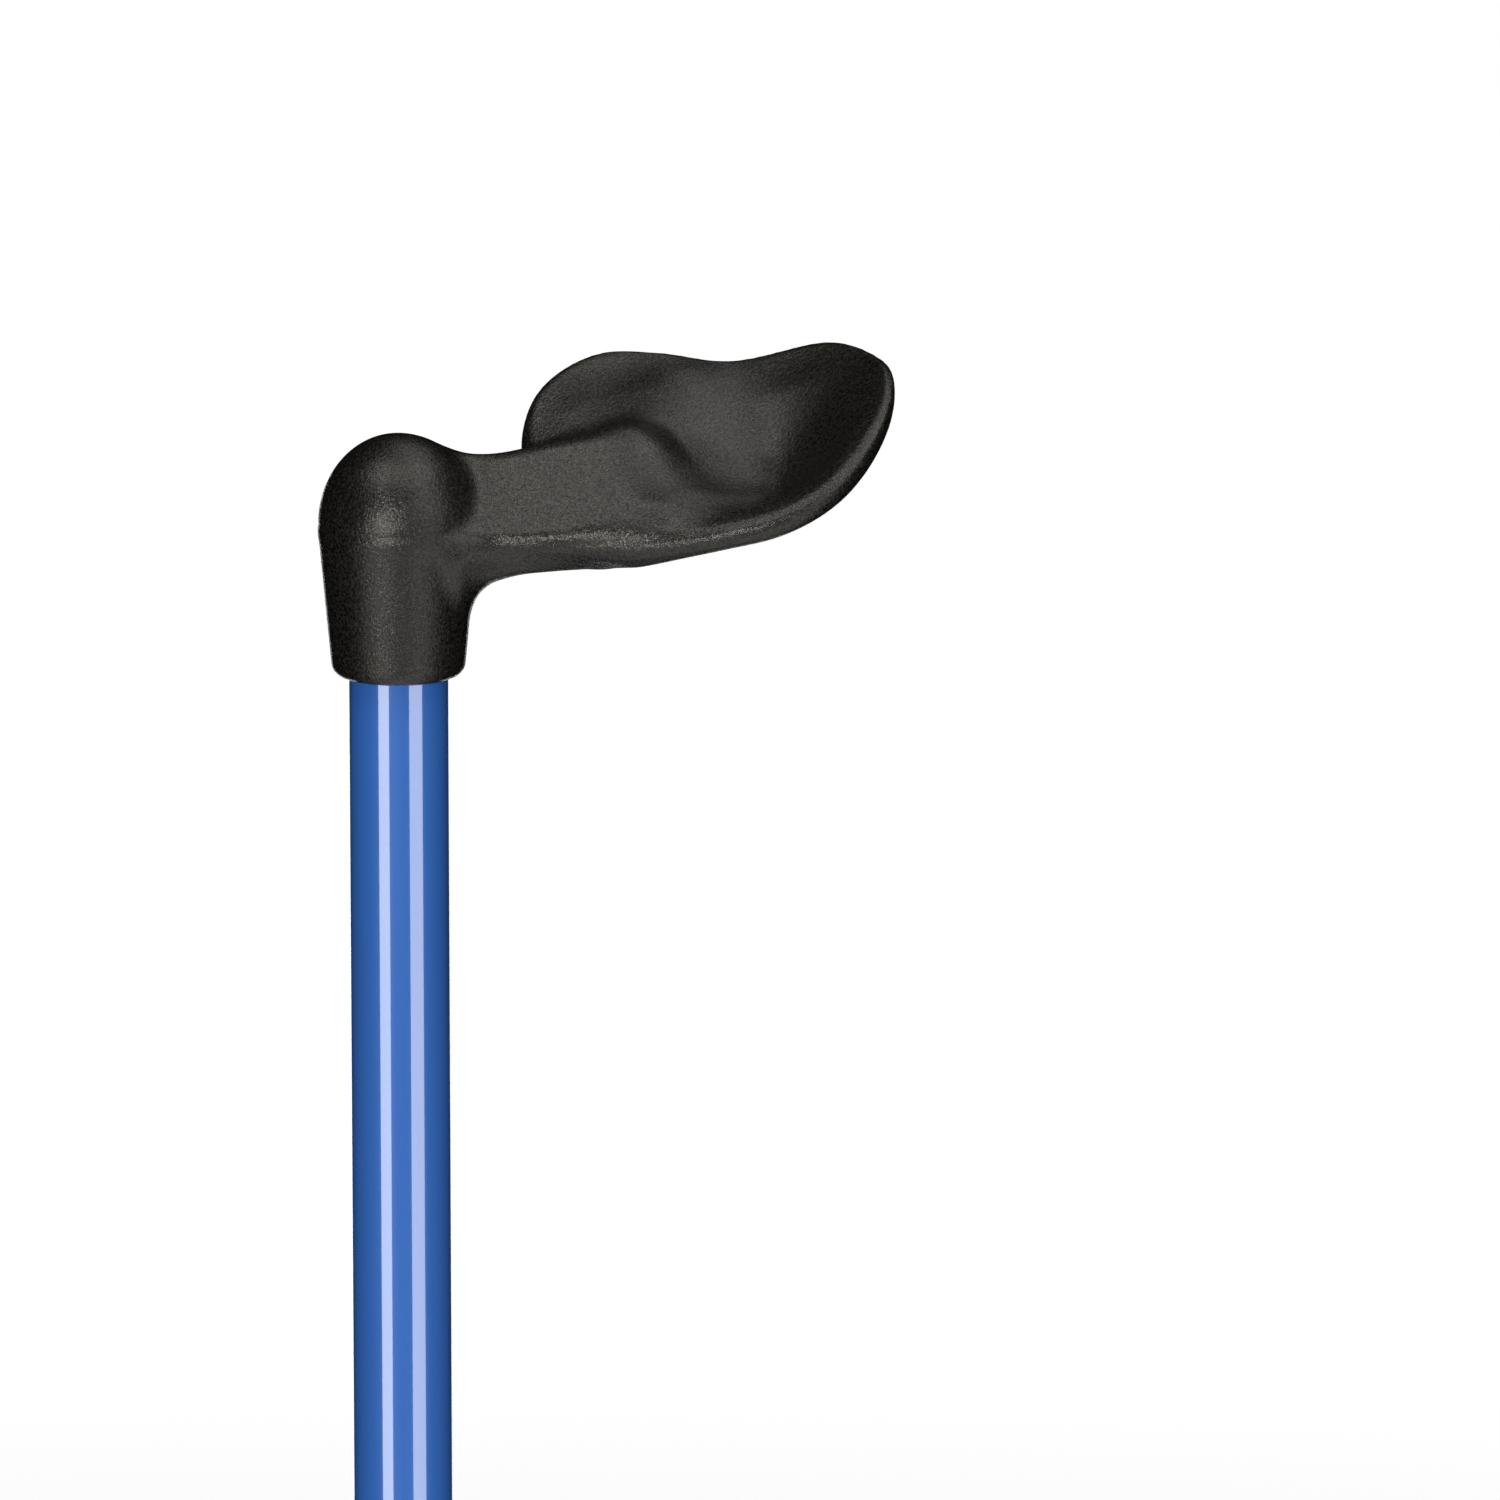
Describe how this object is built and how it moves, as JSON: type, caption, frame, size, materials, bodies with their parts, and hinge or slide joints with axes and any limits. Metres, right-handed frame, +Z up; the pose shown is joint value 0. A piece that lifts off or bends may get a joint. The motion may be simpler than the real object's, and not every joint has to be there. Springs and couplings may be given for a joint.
{
  "type": "palm grip walking stick",
  "caption": "Height-adjustable aluminium walking stick with a moulded handle shaped to the palm, push-button height holes, an anti-rattle collar and a rubber ferrule.",
  "frame": {"origin": "middle of the ferrule's foot, on the axis of the tubes, where the stick stands on the floor", "axes": "+Z up along the tubes, +X the way the handle points, +Y the side of the handle's broad wing"},
  "size_m": [0.1275, 0.0541, 0.8549],
  "materials": {
    "handle_plastic": "fine moulded grain, satin",
    "blue_tube": "blue, glossy, faint drawing lines along the tube",
    "lock_plastic": "satin moulded",
    "nylon": "matt",
    "steel": "plated",
    "rubber": "matt"
  },
  "bodies": {
    "upper": {"handle": "handle_plastic", "handle_pin": "steel", "upper_tube": "blue_tube", "lock_bush": "lock_plastic", "squeeze_ring": "nylon"},
    "lower": {"lower_tube": "blue_tube", "guide_bush": "nylon", "snap_spring": "steel", "ferrule": "rubber", "ferrule_disc": "steel"},
    "button": {"snap_button": "steel"},
    "collar": {"lock_collar": "lock_plastic"}
  },
  "joints": [
    {"name": "height_slide", "type": "slide", "parent": "upper", "child": "lower", "axis": [0, 0, 1], "range_m": [-0.075, 0.075]},
    {"name": "button_press", "type": "slide", "parent": "lower", "child": "button", "axis": [-1, 0, 0], "range_m": [0, 0.005], "stiffness_N_per_m": 1200, "springref_m": -0.002, "deforming": ["snap_spring"]},
    {"name": "collar_turn", "type": "hinge", "parent": "upper", "child": "collar", "pos_m": [0, 0, 0.326], "axis": [0, 0, -1], "range_deg": [0, 300]}
  ]
}
